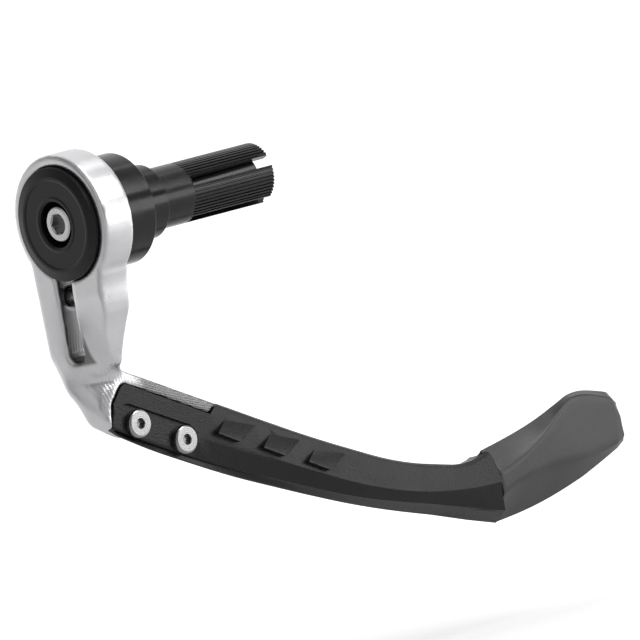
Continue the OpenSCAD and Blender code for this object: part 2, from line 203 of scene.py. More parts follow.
low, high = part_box("end_disc")
disc_face = low.x / MM
disc_back = high.x / MM
disc_r = high.z / MM
ring_face = disc_face + disc_proud
pocket_foot = disc_face + head_pocket_depth
end_disc = turn("end_disc_turned", [
    (disc_face + rim_rise, disc_r), (disc_face, disc_r - rim_slope), (disc_face, ring_outer_r + ring_slope),
    (disc_face + ring_depth, ring_outer_r), (disc_face + ring_depth, ring_inner_r),
    (disc_face, ring_inner_r - ring_slope), (disc_face, head_pocket_r + pocket_mouth),
    (disc_face + pocket_mouth, head_pocket_r), (pocket_foot, head_pocket_r), (pocket_foot, bolt_hole_r),
    (disc_back, bolt_hole_r), (disc_back, disc_step_r), (ring_face + disc_seat, disc_step_r),
    (ring_face + disc_seat, disc_r)], segments=128)
soften(end_disc, 0.14, angle=8)
stands_for(end_disc, "end_disc")

# %% [markdown]
# The weight is a plain turned body with small chamfers, a spigot that the arm's ring clamps, and a
# counterbore behind the disc. Its chamfers are what separates one black cylinder from the next in
# the photograph, so they are kept crisp.

# %% Weight
ring_width = 10.2
spigot_r = 12
counterbore_r = 8.3
counterbore_depth = 7.2
front_chamfer_x = 0.6
front_chamfer_r = 0.7
back_chamfer = 0.8

low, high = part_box("bar_end_weight")
weight_face = ring_face + ring_width
weight_back = high.x / MM
weight_r = high.z / MM
counterbore_foot = ring_face + counterbore_depth
weight = turn("bar_end_weight_turned", [
    (low.x / MM, spigot_r), (weight_face, spigot_r), (weight_face, weight_r - front_chamfer_r),
    (weight_face + front_chamfer_x, weight_r), (weight_back - back_chamfer, weight_r),
    (weight_back, weight_r - back_chamfer), (weight_back, bolt_hole_r), (counterbore_foot, bolt_hole_r),
    (counterbore_foot, counterbore_r), (low.x / MM, counterbore_r)])
soften(weight, 0.12)
stands_for(weight, "bar_end_weight")

# %% [markdown]
# The collar is a short turned ring between the weight and the bar, and the bar's end seats on its
# back face, which is where X is zero. It is turned in the same way, with a chamfer at each end.

# %% Collar
collar_front_chamfer = 0.4
collar_back_chamfer = 0.5

low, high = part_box("adaptor_collar")
collar_face = low.x / MM
collar_r = high.z / MM
collar = turn("adaptor_collar_turned", [
    (collar_face, collar_r - collar_front_chamfer), (collar_face + collar_front_chamfer, collar_r),
    (-collar_back_chamfer, collar_r), (0, collar_r - collar_back_chamfer), (0, bolt_hole_r),
    (collar_face, bolt_hole_r)])
soften(collar, 0.1)
stands_for(collar, "adaptor_collar")

# %% [markdown]
# The wedge nut is a cone that the bolt pulls into the sleeve, to spread it inside the bar. It hardly
# shows inside the sleeve, so its profile is the plain cone with one chamfer.

# %% Wedge nut
wedge_small_r = 4.4
nut_chamfer = 0.4

low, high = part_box("wedge_nut")
nut_face = low.x / MM
nut_back = high.x / MM
nut_r = high.z / MM
nut = turn("wedge_nut_turned", [
    (nut_face, wedge_small_r), (nut_back - nut_chamfer, nut_r), (nut_back, nut_r - nut_chamfer),
    (nut_back, bolt_hole_r), (nut_face, bolt_hole_r)])
soften(nut, 0.1)
stands_for(nut, "wedge_nut")

# %% [markdown]
# A socket screw is turned too, and its socket is a hexagon. The socket's two rings of points are
# turned round at first, and then each point is moved out onto the flats of the hexagon round them,
# so that the funnel above it runs smoothly from round to six-sided. That is how a broached socket
# with its countersunk mouth looks. The screw is made along X and then turned onto its own axis.

# %% A socket screw
mouth_ratio = 1.2
funnel_depth = 0.35
head_rim = [(0, 0.55), (0.2, 0.15), (0.6, 0)]
point_chamfer = 0.5
socket_reach = 0.01
on_the_ring = 1e-5


def socket_screw(name, head_r, head_h, shank_r, length, across, depth, place, axis):
    flat = across / 2
    screw = turn(name, [
        (depth, flat), (funnel_depth, flat), (0, flat * mouth_ratio),
        *[(x, head_r - inset) for x, inset in head_rim], (head_h, head_r), (head_h, shank_r),
        (length - point_chamfer, shank_r), (length, shank_r - point_chamfer)], segments=48, closed=False)
    for vertex in screw.data.vertices:
        radius = math.hypot(vertex.co.y, vertex.co.z)
        if abs(radius - flat * MM) < on_the_ring and vertex.co.x < (depth + socket_reach) * MM:
            turn_on = math.atan2(vertex.co.z, vertex.co.y) % (math.pi / 3) - math.pi / 6
            vertex.co.y /= math.cos(turn_on)
            vertex.co.z /= math.cos(turn_on)
    soften(screw, 0.06, angle=24, segments=2)
    swing = Vector((1, 0, 0)).rotation_difference(Vector(axis)).to_matrix().to_4x4()
    screw.data.transform(Matrix.Translation(Vector(place) * MM) @ swing)
    return screw

# %% [markdown]
# The main bolt runs along the bar, the two low heads hold the blade from the front, and the pinch
# screw closes the ring from the back. Each takes its place, its length and, save the bolt, its
# head's width from its own solid, and the other sizes follow common M6 and M5 screws.

# %% The four screws
low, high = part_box("main_bolt")
main_bolt = socket_screw("main_bolt_turned", head_r=5, head_h=6, shank_r=3, length=(high.x - low.x) / MM,
                         across=5, depth=3, place=(low.x / MM, 0, 0), axis=(1, 0, 0))
stands_for(main_bolt, "main_bolt")

for node in ("blade_screw_front", "blade_screw_rear"):
    low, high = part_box(node)
    at = (low + high) / 2 / MM
    screw = socket_screw(node + "_turned", head_r=(high.x - low.x) / 2 / MM, head_h=1.8, shank_r=2.5,
                         length=(high.y - low.y) / MM, across=2.5, depth=1.3,
                         place=(at.x, low.y / MM, at.z), axis=(0, 1, 0))
    stands_for(screw, node)

low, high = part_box("pinch_screw")
at = (low + high) / 2 / MM
pinch_screw = socket_screw("pinch_screw_turned", head_r=(high.x - low.x) / 2 / MM, head_h=4, shank_r=2.5,
                           length=(high.y - low.y) / MM, across=4, depth=2.4,
                           place=(at.x, high.y / MM, at.z), axis=(0, -1, 0))
stands_for(pinch_screw, "pinch_screw")

# %% [markdown]
# The arm and the sleeve are milled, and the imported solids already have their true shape: the ring,
# the ball-milled bowl, the clamp slot, the gripping ribs. Building them again from a primitive would
# only risk losing the fit with their neighbours, so each is a copy of its solid, whose loose
# triangles are merged into one skin and whose flat areas become single faces.

# %% A merged copy of a solid
same_point = 2e-6
flat_angle = 0.3


def merged_copy(node, name):
    piece = bpy.data.objects.new(name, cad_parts[node].data.copy())
    scene.collection.objects.link(piece)
    pick(piece)
    bpy.ops.object.mode_set(mode="EDIT")
    bpy.ops.mesh.select_all(action="SELECT")
    bpy.ops.mesh.remove_doubles(threshold=same_point)
    bpy.ops.mesh.dissolve_limited(angle_limit=math.radians(flat_angle))
    bpy.ops.object.mode_set(mode="OBJECT")
    return piece


arm = merged_copy("lever_arm", "lever_arm_milled")
print("arm as merged:", len(arm.data.polygons), "faces")

# %% [markdown]
# The arm's faces are long and thin, and a bevel tore them open under the ring. So its skin is made
# again from small even cells, with a voxel remesh, and a few passes of smoothing then round every
# edge a little, as filing would. The small cells are also what the next step needs to bend.

# %% An even skin for the arm
skin_cell = 0.42


def even_skin(piece, passes):
    worked(piece, "REMESH", mode="VOXEL", voxel_size=skin_cell * MM)
    worked(piece, "SMOOTH", factor=0.5, iterations=passes)


even_skin(arm, 4)
print("arm with an even skin:", len(arm.data.polygons), "faces")

# %% [markdown]
# The ball cutter took the arm's front away towards the blade, so the front face falls back in one
# smooth sweep and meets the side in a curve that ends in the inner corner. Two short lists of height
# and place give that curve: how far the side stands out, and where the front ends on it. A border is
# written as a pair, from the place where the change starts to where it is complete, and `ramp` turns
# it into a share between nothing and all.

# %% Lines and borders of the hollow
side_line = [(-21.9, -11), (-27.9, -8.8), (-31.3, -6.7), (-35.5, -4.4), (-39.8, -2.8), (-42.8, -2.1)]
front_line = [(-22, -31.3), (-26, -30.3), (-31.5, -28.8), (-36, -26.7), (-40, -24.5), (-43, -22.4)]


def read_off(line, z):
    z = max(line[-1][0], min(line[0][0], z))
    for (z0, v0), (z1, v1) in zip(line, line[1:]):
        if z >= z1:
            return v0 + (v1 - v0) * (z - z0) / (z1 - z0)


def ramp(value, start, end):
    return max(0, min(1, (value - start) / (end - start)))


slot_top = Vector((3.4, -10))
slot_foot = Vector((5, -35.6))
slot_rim = (3.3, 4.6)
front_face_x = -31.3
inner_face_x = -20
inner_facing = 0.35
sweep_starts_y = 9
sweep_ends_z = -43
hollow_top = (-21, -25)
hollow_foot = (-56, -52)
hollow_low_z = -57
hollow_side = (0.25, 0.9)
hollow_far_y = (12, 9.5)
print("at a height of -35 mm the side is at y", round(read_off(side_line, -35), 2))

# %% [markdown]
# The front's points are pushed back to the sweep, and each point of the hollow notes how freely it
# may move: not at all at the slot's rim, at the side, at the top and at the foot, and fully between.
# The bend behind the elbow gets a group of its own, for a softer inner corner.

# %% Push the front back
hollow_back_x = -24.6
corner_step = 3.2
corner_top = (-40.5, -42)
corner_foot = (-47, -45.5)
back_edge = (1, -0.6)
bend_back_y = (4, 7)
bend_foot_z = (-64, -58)
bend_top_z = (-36, -42)
bend_x = (-10, -16)

hollow = arm.vertex_groups.new(name="hollow")
elbow = arm.vertex_groups.new(name="elbow")
moved = 0
for vertex in arm.data.vertices:
    x, y, z = vertex.co / MM
    bend = ramp(y, *bend_back_y) * ramp(z, *bend_foot_z) * ramp(z, *bend_top_z) * ramp(x, *bend_x)
    if bend > 0:
        elbow.add([vertex.index], bend, "REPLACE")
    if x > inner_face_x or z > hollow_top[0] or z < hollow_low_z or vertex.normal.x > inner_facing:
        continue
    near = geometry.intersect_point_line(Vector((y, z)), slot_top, slot_foot)[0]
    from_slot = (Vector((y, z)) - near.to_2d()).length
    if from_slot < slot_rim[0]:
        continue
    side_y = read_off(side_line, z)
    fall = (read_off(front_line, z) - front_face_x) * ramp(y, sweep_starts_y, side_y) ** 2
    if z > sweep_ends_z and x < front_face_x + fall:
        vertex.co.x = (front_face_x + fall) * MM
        moved += 1
    back_x = hollow_back_x + corner_step * ramp(z, *corner_top) * ramp(z, *corner_foot)
    side_border = (side_y + hollow_side[0], side_y + hollow_side[1])
    back_border = (back_x + back_edge[0], back_x + back_edge[1])
    held = ramp(y, *side_border) * ramp(y, *hollow_far_y) * ramp(from_slot, *slot_rim)
    held *= ramp(x, *back_border) * ramp(z, *hollow_foot) * ramp(z, *hollow_top)
    if held > 0:
        hollow.add([vertex.index], held, "REPLACE")
print("moved", moved, "points back to the sweep")

# %% [markdown]
# Many passes of smoothing, held at the borders, now stretch the hollow like a membrane, and fewer
# passes soften the bend. The stretched cells are remade twice, with a little smoothing each time,
# so that the shading over them is even.

# %% Stretch the hollow
stretch_passes = 500
bend_passes = 100

worked(arm, "SMOOTH", factor=0.5, iterations=stretch_passes, vertex_group="hollow")
worked(arm, "SMOOTH", factor=0.5, iterations=bend_passes, vertex_group="elbow")
even_skin(arm, 2)
even_skin(arm, 2)
pick(arm)
bpy.ops.object.shade_smooth()
stands_for(arm, "lever_arm")

# %% [markdown]
# The sleeve is what grips the bar from inside: a thin tube with fine gripping ribs, cut by a cross of
# slots so that it can spread. The many small rib faces are in the solid already, so a merged copy is
# enough, with its sharp edges broken by a very small bevel.

# %% Sleeve
sleeve = merged_copy("expander_sleeve", "expander_sleeve_ribbed")
soften(sleeve, 0.05, angle=20, segments=2)
stands_for(sleeve, "expander_sleeve")

# %% [markdown]
# The blade is an injection moulding. Its root, pocket and teeth are in the solid, and a merged copy
# keeps them. Near the tip the real blade flares, and its end is a shallow curve rather than the
# solid's deeper arc, so the points of the copy's last stretch are slid along the bar until the end
# follows that curve. The slide fades to nothing over 20 mm, so that the long surfaces stay fair, and
# the back of the upper edge comes down with it, to meet the tip.

# %% Blade
seam_line = [(-90.0, 103.8), (-94.0, 105.4), (-98.0, 106.2), (-103.6, 106.2), (-108.0, 106.8),
             (-112.5, 107.4)]
solid_arc_x = 93.6
solid_arc_z = -104
solid_arc_r = 16
solid_end_z = (-114, -91.5)
slide_starts_x = 86
seam_gap = 0.15
upper_edge_z = -93.5
upper_edge_back_y = 3
upper_edge_drop = 1.0


def solid_seam_x(z):
    off_centre = max(solid_end_z[0], min(solid_end_z[1], z)) - solid_arc_z
    return solid_arc_x + math.sqrt(solid_arc_r ** 2 - off_centre ** 2)


blade = merged_copy("guard_blade", "guard_blade_moulded")
slid = 0
for vertex in blade.data.vertices:
    x, y, z = vertex.co / MM
    if x > slide_starts_x:
        share = ramp(x, slide_starts_x, solid_seam_x(z))
        share = share * share * (3 - 2 * share)
        vertex.co.x += share * (read_off(seam_line, z) - seam_gap - solid_seam_x(z)) * MM
        if z > upper_edge_z and y > upper_edge_back_y:
            vertex.co.z -= upper_edge_drop * share * MM
        slid += 1
print("slid", slid, "points of the blade's end")
soften(blade, 0.35, angle=26)
stands_for(blade, "guard_blade")

# %% [markdown]
# The tip is a softly faceted cap: an upper flank, one large flat face and a lower flank, with
# creases that bend on their way from the seam to the end. Hard-edged boxes can't give such soft
# creases, so it is made as a cage of eight sections. Each has one point on the top edge, two on the
# large face, one on the bottom edge and two at the back. A circle is extruded once for each further
# section, and then every point is put in its place from the list. The back of the first section
# reaches a little into the blade, which narrows the slit that would open there.

# %% The tip's cage
tip_sections = [
    [(103.6, 4.3, -90.7), (106.3, 1.0, -97.9), (106.3, 1.1, -103.6),
     (107.1, 8.0, -111.4), (105.4, 12.6, -107.6), (102.6, 12.4, -95.2)],
    [(111.2, 4.5, -89.5), (112.5, 1.1, -96.6), (111.2, 1.2, -101.8),
     (114.1, 7.7, -110.8), (114.0, 12.9, -107.0), (111.8, 12.8, -94.4)],
    [(119.2, 4.8, -88.0), (120.3, 1.3, -93.6), (117.8, 1.5, -100.3),
     (121.8, 7.3, -109.8), (121.5, 12.9, -105.9), (119.8, 12.9, -92.9)],
    [(127.4, 5.1, -86.1), (127.6, 1.7, -89.2), (126.1, 1.9, -99.7),
     (131.2, 6.9, -107.9), (131.0, 12.9, -103.9), (128.0, 12.9, -90.9)],
    [(138.9, 5.5, -82.2), (137.6, 2.6, -83.0), (135.1, 2.5, -99.9),
     (140.4, 6.6, -105.4), (139.0, 12.9, -101.3), (138.4, 12.9, -87.6)],
    [(144.4, 5.8, -81.5), (144.4, 3.2, -82.8), (145.5, 3.4, -99.7),
     (148.6, 6.3, -102.5), (145.4, 12.9, -98.8), (143.8, 12.9, -86.8)],
    [(154.2, 6.0, -84.3), (154.2, 4.0, -86.4), (153.3, 4.0, -98.6),
     (154.3, 6.1, -100.3), (150.6, 12.9, -96.6), (149.8, 12.9, -88.4)],
    [(157.0, 6.0, -88.0), (156.8, 4.9, -92.0), (157.0, 5.0, -97.2),
     (157.1, 6.0, -98.6), (152.4, 12.7, -95.2), (151.9, 12.7, -91.2)]]
points_round = len(tip_sections[0])
start_r = 5

bpy.ops.object.select_all(action="DESELECT")
bpy.ops.mesh.primitive_circle_add(vertices=points_round, radius=start_r * MM)
tip = bpy.context.object
tip.name = "tip_cap_moulded"
bpy.ops.object.mode_set(mode="EDIT")
bpy.ops.mesh.select_all(action="SELECT")
bpy.ops.mesh.edge_face_add()
for _ in tip_sections[1:]:
    bpy.ops.mesh.extrude_edges_move(TRANSFORM_OT_translate={"value": (MM, 0, 0)})
bpy.ops.mesh.edge_face_add()
bpy.ops.object.mode_set(mode="OBJECT")
tip_corners = [corner for section in tip_sections for corner in section]
for vertex, corner in zip(tip.data.vertices, tip_corners):
    vertex.co = Vector(corner) * MM
bpy.ops.object.transform_apply(location=True, rotation=True, scale=True)
bpy.ops.object.mode_set(mode="EDIT")
bpy.ops.mesh.select_all(action="SELECT")
bpy.ops.mesh.normals_make_consistent(inside=False)
bpy.ops.object.mode_set(mode="OBJECT")
print("tip's cage:", len(tip.data.vertices), "points")

# %% [markdown]
# A subdivision surface smooths the cage, and an edge with a crease stays tighter. The six long lines
# each have a crease of their own: the top and bottom edges are sharp, the two lines of the large
# face a little softer, and those at the back soft. The two ends are nearly sharp, and two sections
# near the end keep the bend of the large face in its place.

# %% The tip's creases
line_creases = [1.0, 0.78, 0.78, 1.0, 0.5, 0.5]
end_sections = (0, len(tip_sections) - 1)
end_crease = 0.95
bend_sections = (4, 6)
bend_crease = 0.65

crease = tip.data.attributes.new("crease_edge", "FLOAT", "EDGE")
for edge in tip.data.edges:
    (section_a, line_a), (section_b, line_b) = (divmod(point, points_round) for point in edge.vertices)
    if line_a == line_b:
        crease.data[edge.index].value = line_creases[line_a]
    elif section_a == section_b and section_a in end_sections:
        crease.data[edge.index].value = end_crease
    elif section_a == section_b and section_a in bend_sections:
        crease.data[edge.index].value = bend_crease
worked(tip, "SUBSURF", levels=3, render_levels=3)
smooth(tip, 50)
stands_for(tip, "tip_cap")

# %% [markdown]
# A finish is built from layers that the real surface has, each in millimetres on the piece: slow
# cloudiness from the anodising or moulding, a fine grain, and the marks that the tool left. They are
# all made of nodes, so the first helper adds one node, whose inputs are numbers or links to other
# nodes. The next ones are for sums on numbers, for sums on places, for turning one range of values
# into another, and for a mix of two colours.

# %% Nodes
def add_node(tree, kind, inputs=None, **settings):
    made = tree.nodes.new(kind)
    for key, value in settings.items():
        setattr(made, key, value)
    for socket, source in (inputs or {}).items():
        if hasattr(source, "links"):
            tree.links.new(source, made.inputs[socket])
        else:
            made.inputs[socket].default_value = source
    return made


def numbers(tree, operation, first, second=0.0):
    return add_node(tree, "ShaderNodeMath", {0: first, 1: second}, operation=operation).outputs["Value"]


def places(tree, operation, first, second=(0, 0, 0)):
    made = add_node(tree, "ShaderNodeVectorMath", {0: first, 1: second}, operation=operation)
    return made.outputs["Value" if operation in ("LENGTH", "DISTANCE", "DOT_PRODUCT") else "Vector"]


def between(tree, value, low, high, to_low=0, to_high=1, **settings):
    inputs = {"Value": value, "From Min": low, "From Max": high, "To Min": to_low, "To Max": to_high}
    return add_node(tree, "ShaderNodeMapRange", inputs, **settings).outputs["Result"]


def mixed(tree, amount, dark, light):
    return add_node(tree, "ShaderNodeMix", {"Factor": amount, 6: dark, 7: light}, data_type="RGBA").outputs[2]


def grey(level, blue=1.02):
    return (level, level, min(1, level * blue), 1)

# %% [markdown]
# `Finish` starts a material. Its plain values go on the shader's own sockets, so that the export
# keeps them, and its place is the object's own coordinates in millimetres, so that a pattern stays
# on the piece. `tint` gives it a colour between two, `roughened` a roughness that varies, and
# `stack` adds a pattern as a bump of a real height on top of the bumps before it.

# %% A finish
class Finish:
    def __init__(self, name, colour, metal, rough, specular=0.5):
        self.material = bpy.data.materials.new(name)
        self.material.use_nodes = True
        self.tree = self.material.node_tree
        self.shader = self.tree.nodes["Principled BSDF"]
        self.shader.inputs["Base Color"].default_value = (*colour, 1)
        self.shader.inputs["Metallic"].default_value = metal
        self.shader.inputs["Roughness"].default_value = rough
        self.shader.inputs["Specular IOR Level"].default_value = specular
        own_place = add_node(self.tree, "ShaderNodeTexCoord").outputs["Object"]
        in_mm = add_node(self.tree, "ShaderNodeVectorMath", {0: own_place, "Scale": 1000}, operation="SCALE")
        self.place = in_mm.outputs["Vector"]
        self.bump = None

    def tint(self, amount, dark, light):
        self.tree.links.new(mixed(self.tree, amount, dark, light), self.shader.inputs["Base Color"])

    def roughened(self, roughness):
        self.tree.links.new(roughness, self.shader.inputs["Roughness"])

    def stack(self, height, millimetres):
        inputs = {"Strength": 1, "Distance": millimetres * MM, "Height": height}
        if self.bump:
            inputs["Normal"] = self.bump
        self.bump = add_node(self.tree, "ShaderNodeBump", inputs).outputs["Normal"]

    def done(self):
        self.tree.links.new(self.bump, self.shader.inputs["Normal"])
        print("finish:", self.material.name)
        return self.material

# %% [markdown]
# Two patterns serve nearly every finish. `grain` is noise of one size. `rings` are the marks that a
# lathe or a sweeping cutter leaves: waves of the distance from an axis, which wander a little, so
# that they don't look printed.

# %% Grain and rings
wander_size = 2.5


def grain(finish, size, detail=3, stretch=(1, 1, 1), roughness=0.6):
    place = places(finish.tree, "MULTIPLY", finish.place, stretch)
    inputs = {"Scale": 1 / size, "Detail": detail, "Roughness": roughness, "Vector": place}
    return add_node(finish.tree, "ShaderNodeTexNoise", inputs).outputs["Fac"]


def from_axis(finish, centre, axis):
    away = places(finish.tree, "SUBTRACT", finish.place, centre)
    across = tuple(1 - abs(a) for a in axis)
    return places(finish.tree, "LENGTH", places(finish.tree, "MULTIPLY", away, across))


def rings(finish, centre, axis, pitch, wander=0.25):
    tree = finish.tree
    shift = numbers(tree, "MULTIPLY", grain(finish, wander_size, 2), wander)
    shifted = numbers(tree, "ADD", from_axis(finish, centre, axis), shift)
    return numbers(tree, "SINE", numbers(tree, "MULTIPLY", shifted, 2 * math.pi / pitch))

# %% [markdown]
# The arm is milled from aluminium and anodised clear, so it is a satin metal. A soft cloud varies
# its brightness a little. The strip above the blade and the inside of the clamp slot look darker in
# the photograph, so the finish is darker there. That is painted shade: it stands in for the shade
# inside the slot and the duller reflection of the strip, which faces another way. The borders are
# found from the place on the arm, and the first one takes in the whole lug that the strip belongs
# to, its back too. A texture painted by hand could follow the strip alone, but these borders stay
# exact at any size.

# %% Milled aluminium: colour
milled = Finish("milled_silver_aluminium", (0.66, 0.66, 0.67), 1, 0.34)
tree = milled.tree
across_bar = places(tree, "DOT_PRODUCT", milled.place, (0, 1, 0))
along_bar = places(tree, "DOT_PRODUCT", milled.place, (1, 0, 0))
height = places(tree, "DOT_PRODUCT", milled.place, (0, 0, 1))
cloud = grain(milled, 9, 4)
unshaded_colour = mixed(tree, between(tree, cloud, 0.3, 0.7), grey(0.69), grey(0.78))

# Painted shade: the lug and the inside of the clamp slot are tinted dark grey (0.24), standing in for shade
# and a duller reflection there. The lug's mask also holds the cross-cut marks below.
lug_painted_shade_and_marks = numbers(tree, "MULTIPLY", between(tree, along_bar, -17, -12), between(tree, height, -40, -43))
slot_borders = [(along_bar, -31.1, -30.5), (along_bar, -21.2, -21.6), (across_bar, 0.2, 0.8),
                (across_bar, 8.6, 8.0), (height, -12, -15), (height, -40, -39)]
slot_painted_shade = 1.0
for value, start, end in slot_borders:
    slot_painted_shade = numbers(tree, "MULTIPLY", between(tree, value, start, end), slot_painted_shade)
milled.tint(numbers(tree, "MAXIMUM", lug_painted_shade_and_marks, slot_painted_shade), unshaded_colour, grey(0.24))
print("darker places: the lug and the slot")

# %% [markdown]
# The cutters left marks. The ball cutter that made the hollow leaves arcs round one centre, which
# show below the clamp slot. The whole arm has the finer arcs of a flat cutter with a larger sweep,
# and on the lug two passes cross. Over all of them lies the pearl-like grain of the anodising, which
# the roughness follows too.

# %% Milled aluminium: marks
sweep = rings(milled, (18, -14, -38), (0, 1, 0), 0.95, 0.35)
sweep_marks = numbers(tree, "MULTIPLY", sweep, between(tree, height, -24, -34))
fine_sweep = rings(milled, (-60, 0, -110), (0, 1, 0), 0.55, 0.5)
first_pass = rings(milled, (-40, 0, 60), (0, 1, 0), 0.9, 0.2)
second_pass = rings(milled, (160, 0, 40), (0, 1, 0), 0.9, 0.2)
cross_cut = numbers(tree, "MULTIPLY", numbers(tree, "MULTIPLY", first_pass, second_pass), lug_painted_shade_and_marks)
pearl = between(tree, grain(milled, 0.35, 4, roughness=0.7), 0.25, 0.75)

pearl_rough = numbers(tree, "MULTIPLY", numbers(tree, "SUBTRACT", pearl, 0.5), 0.07)
cloud_rough = numbers(tree, "ADD", between(tree, cloud, 0.3, 0.7, 0.28, 0.38), pearl_rough)
milled.roughened(numbers(tree, "ADD", cloud_rough, numbers(tree, "MULTIPLY", sweep_marks, 0.02)))
milled.stack(sweep_marks, 0.012)
milled.stack(fine_sweep, 0.004)
milled.stack(cross_cut, 0.05)
milled.stack(pearl, 0.012)
milled_silver = milled.done()

# %% [markdown]
# The weight, the collar, the disc and the sleeve are turned from aluminium and anodised black. The
# reflections stay sharp, and the lathe's marks are very fine circles: round the bar on a flat face,
# and along the bar on a cylinder. Where hands and cloths rub the edges the layer is a little thinner
# and greyer, and `edge_wear` finds those edges from how a rounded normal turns. The black is written
# darker than a real dye, because these lamps would lift it above the photograph's.

# %% Black anodised aluminium
def edge_wear(finish, reach):
    tree = finish.tree
    rounded = add_node(tree, "ShaderNodeBevel", {"Radius": reach * MM}, samples=6).outputs["Normal"]
    plain = add_node(tree, "ShaderNodeNewGeometry").outputs["Normal"]
    worn = between(tree, places(tree, "DOT_PRODUCT", rounded, plain), 0.995, 0.9)
    return numbers(tree, "MULTIPLY", worn, between(tree, grain(finish, 1.6, 4), 0.42, 0.62))


def black_turned(name, level, rough, specular):
    made = Finish(name, (level, level, level * 1.04), 0, rough, specular)
    tree = made.tree
    cloud = grain(made, 6, 3)
    worn = numbers(tree, "MULTIPLY", edge_wear(made, 0.35), 0.6)
    shade = numbers(tree, "ADD", between(tree, cloud, 0.3, 0.7, 0, 0.35), worn)
    made.tint(shade, grey(level, 1.05), grey(level * 3, 1.03))
    faces = rings(made, (0, 0, 0), (1, 0, 0), 0.42, 0.1)
    along_bar = places(tree, "DOT_PRODUCT", made.place, (1, 0, 0))
    sides = numbers(tree, "SINE", numbers(tree, "MULTIPLY", along_bar, 2 * math.pi / 0.38))
    fine = grain(made, 0.22, 3)
    fine_rough = numbers(tree, "MULTIPLY", numbers(tree, "SUBTRACT", fine, 0.5), 0.12)
    cloud_rough = between(tree, cloud, 0.3, 0.7, rough - 0.04, rough + 0.05)
    made.roughened(numbers(tree, "ADD", cloud_rough, fine_rough))
    made.stack(faces, 0.0015)
    made.stack(sides, 0.0015)
    made.stack(fine, 0.006)
    return made.done()


black_disc = black_turned("black_anodised_disc", level=0.006, rough=0.33, specular=0.35)
black_body = black_turned("black_anodised_body", level=0.004, rough=0.17, specular=0.4)
black_sleeve = black_turned("black_anodised_sleeve", level=0.004, rough=0.22, specular=0.4)

# %% [markdown]
# The screws are stainless steel. Their heads are faced on a lathe, so each one has fine rings round
# its own middle, which is taken from its own box. Inside the socket's radius the steel is painted a
# third darker. That is painted shade, for the shade that falls inside the socket. The colour is
# written darker than bare steel, because the lamp at the side would make the real one clip to white.

# %% Stainless steel
def screw_steel(name, node, axis, socket_r, level):
    low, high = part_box(node)
    centre = tuple((low + high) / 2 / MM)
    made = Finish(name, (0.6, 0.6, 0.6), 1, 0.25)
    tree = made.tree
    # Painted shade: inside the socket's radius the colour is a third darker, for the shade in the recess.
    socket_painted_shade = between(tree, from_axis(made, centre, axis), socket_r, socket_r + 0.25, 1, 0)
    made.tint(socket_painted_shade, grey(level, 1.0), grey(level * 0.66, 1.0))
    faced = rings(made, centre, axis, 0.5, 0.15)
    scuffs = grain(made, 0.5, 4, (1, 3, 1))
    made.roughened(numbers(tree, "ADD", between(tree, scuffs, 0.3, 0.7, 0.2, 0.34),
                           numbers(tree, "MULTIPLY", faced, 0.02)))
    made.stack(faced, 0.003)
    made.stack(scuffs, 0.006)
    return made.done()


steel_main = screw_steel("faced_steel_main_bolt", "main_bolt", (1, 0, 0), 2.9, 0.62)
steel_front = screw_steel("faced_steel_front_screw", "blade_screw_front", (0, 1, 0), 1.3, 0.33)
steel_rear = screw_steel("faced_steel_rear_screw", "blade_screw_rear", (0, 1, 0), 1.3, 0.33)
steel_pinch = screw_steel("faced_steel_pinch_screw", "pinch_screw", (0, 1, 0), 2.2, 0.33)

# %% [markdown]
# The blade and the tip are moulded plastic. The mould was etched, and the etching shows as a fine
# leather-like grain that spreads the highlights. It is made of rounded cells, whose places a noise
# shifts so that no two are alike. The blade is nearly black. The tip has a finer grain and is a
# touch greyer, which is why it reads as a separate piece at the seam.

# %% Moulded plastics
def cells(finish, size):
    tree = finish.tree
    noise = add_node(tree, "ShaderNodeTexNoise", {"Scale": 1 / (size * 1.5), "Vector": finish.place})
    wobble = add_node(tree, "ShaderNodeVectorMath", {0: noise.outputs["Color"], "Scale": size * 0.8},
                      operation="SCALE")
    place = places(tree, "ADD", finish.place, wobble.outputs["Vector"])
    inputs = {"Scale": 1 / size, "Smoothness": 0.6, "Vector": place}
    return add_node(tree, "ShaderNodeTexVoronoi", inputs, feature="SMOOTH_F1").outputs["Distance"]


def moulded(name, level, rough, cell, depth, specular):
    made = Finish(name, (level, level, level * 1.03), 0, rough, specular)
    tree = made.tree
    cloud = grain(made, 14, 3)
    pores = cells(made, cell)
    fine = grain(made, cell * 0.4, 3)
    worn = numbers(tree, "MULTIPLY", edge_wear(made, 0.4), 0.3)
    speckled = numbers(tree, "ADD", numbers(tree, "MULTIPLY", fine, 0.25), worn)
    shade = numbers(tree, "ADD", between(tree, cloud, 0.3, 0.7, 0, 0.4), speckled)
    made.tint(shade, grey(level * 0.85, 1.03), grey(level * 2.2, 1.03))
    fine_rough = numbers(tree, "MULTIPLY", numbers(tree, "SUBTRACT", fine, 0.5), 0.16)
    cloud_rough = between(tree, cloud, 0.3, 0.7, rough - 0.04, rough + 0.04)
    made.roughened(numbers(tree, "ADD", cloud_rough, fine_rough))
    made.stack(pores, depth)
    made.stack(fine, depth * 0.6)
    return made.done()


blade_grain = moulded("black_grained_blade", level=0.005, rough=0.32, cell=0.55, depth=0.05, specular=0.32)
tip_grain = moulded("dark_grained_tip", level=0.030, rough=0.34, cell=0.32, depth=0.03, specular=0.5)

# %% [markdown]
# Each piece now gets its finish. On the real part the black pieces come from one anodising bath, but
# the disc is faced duller and the sleeve a little duller than the turned bodies, so they differ.

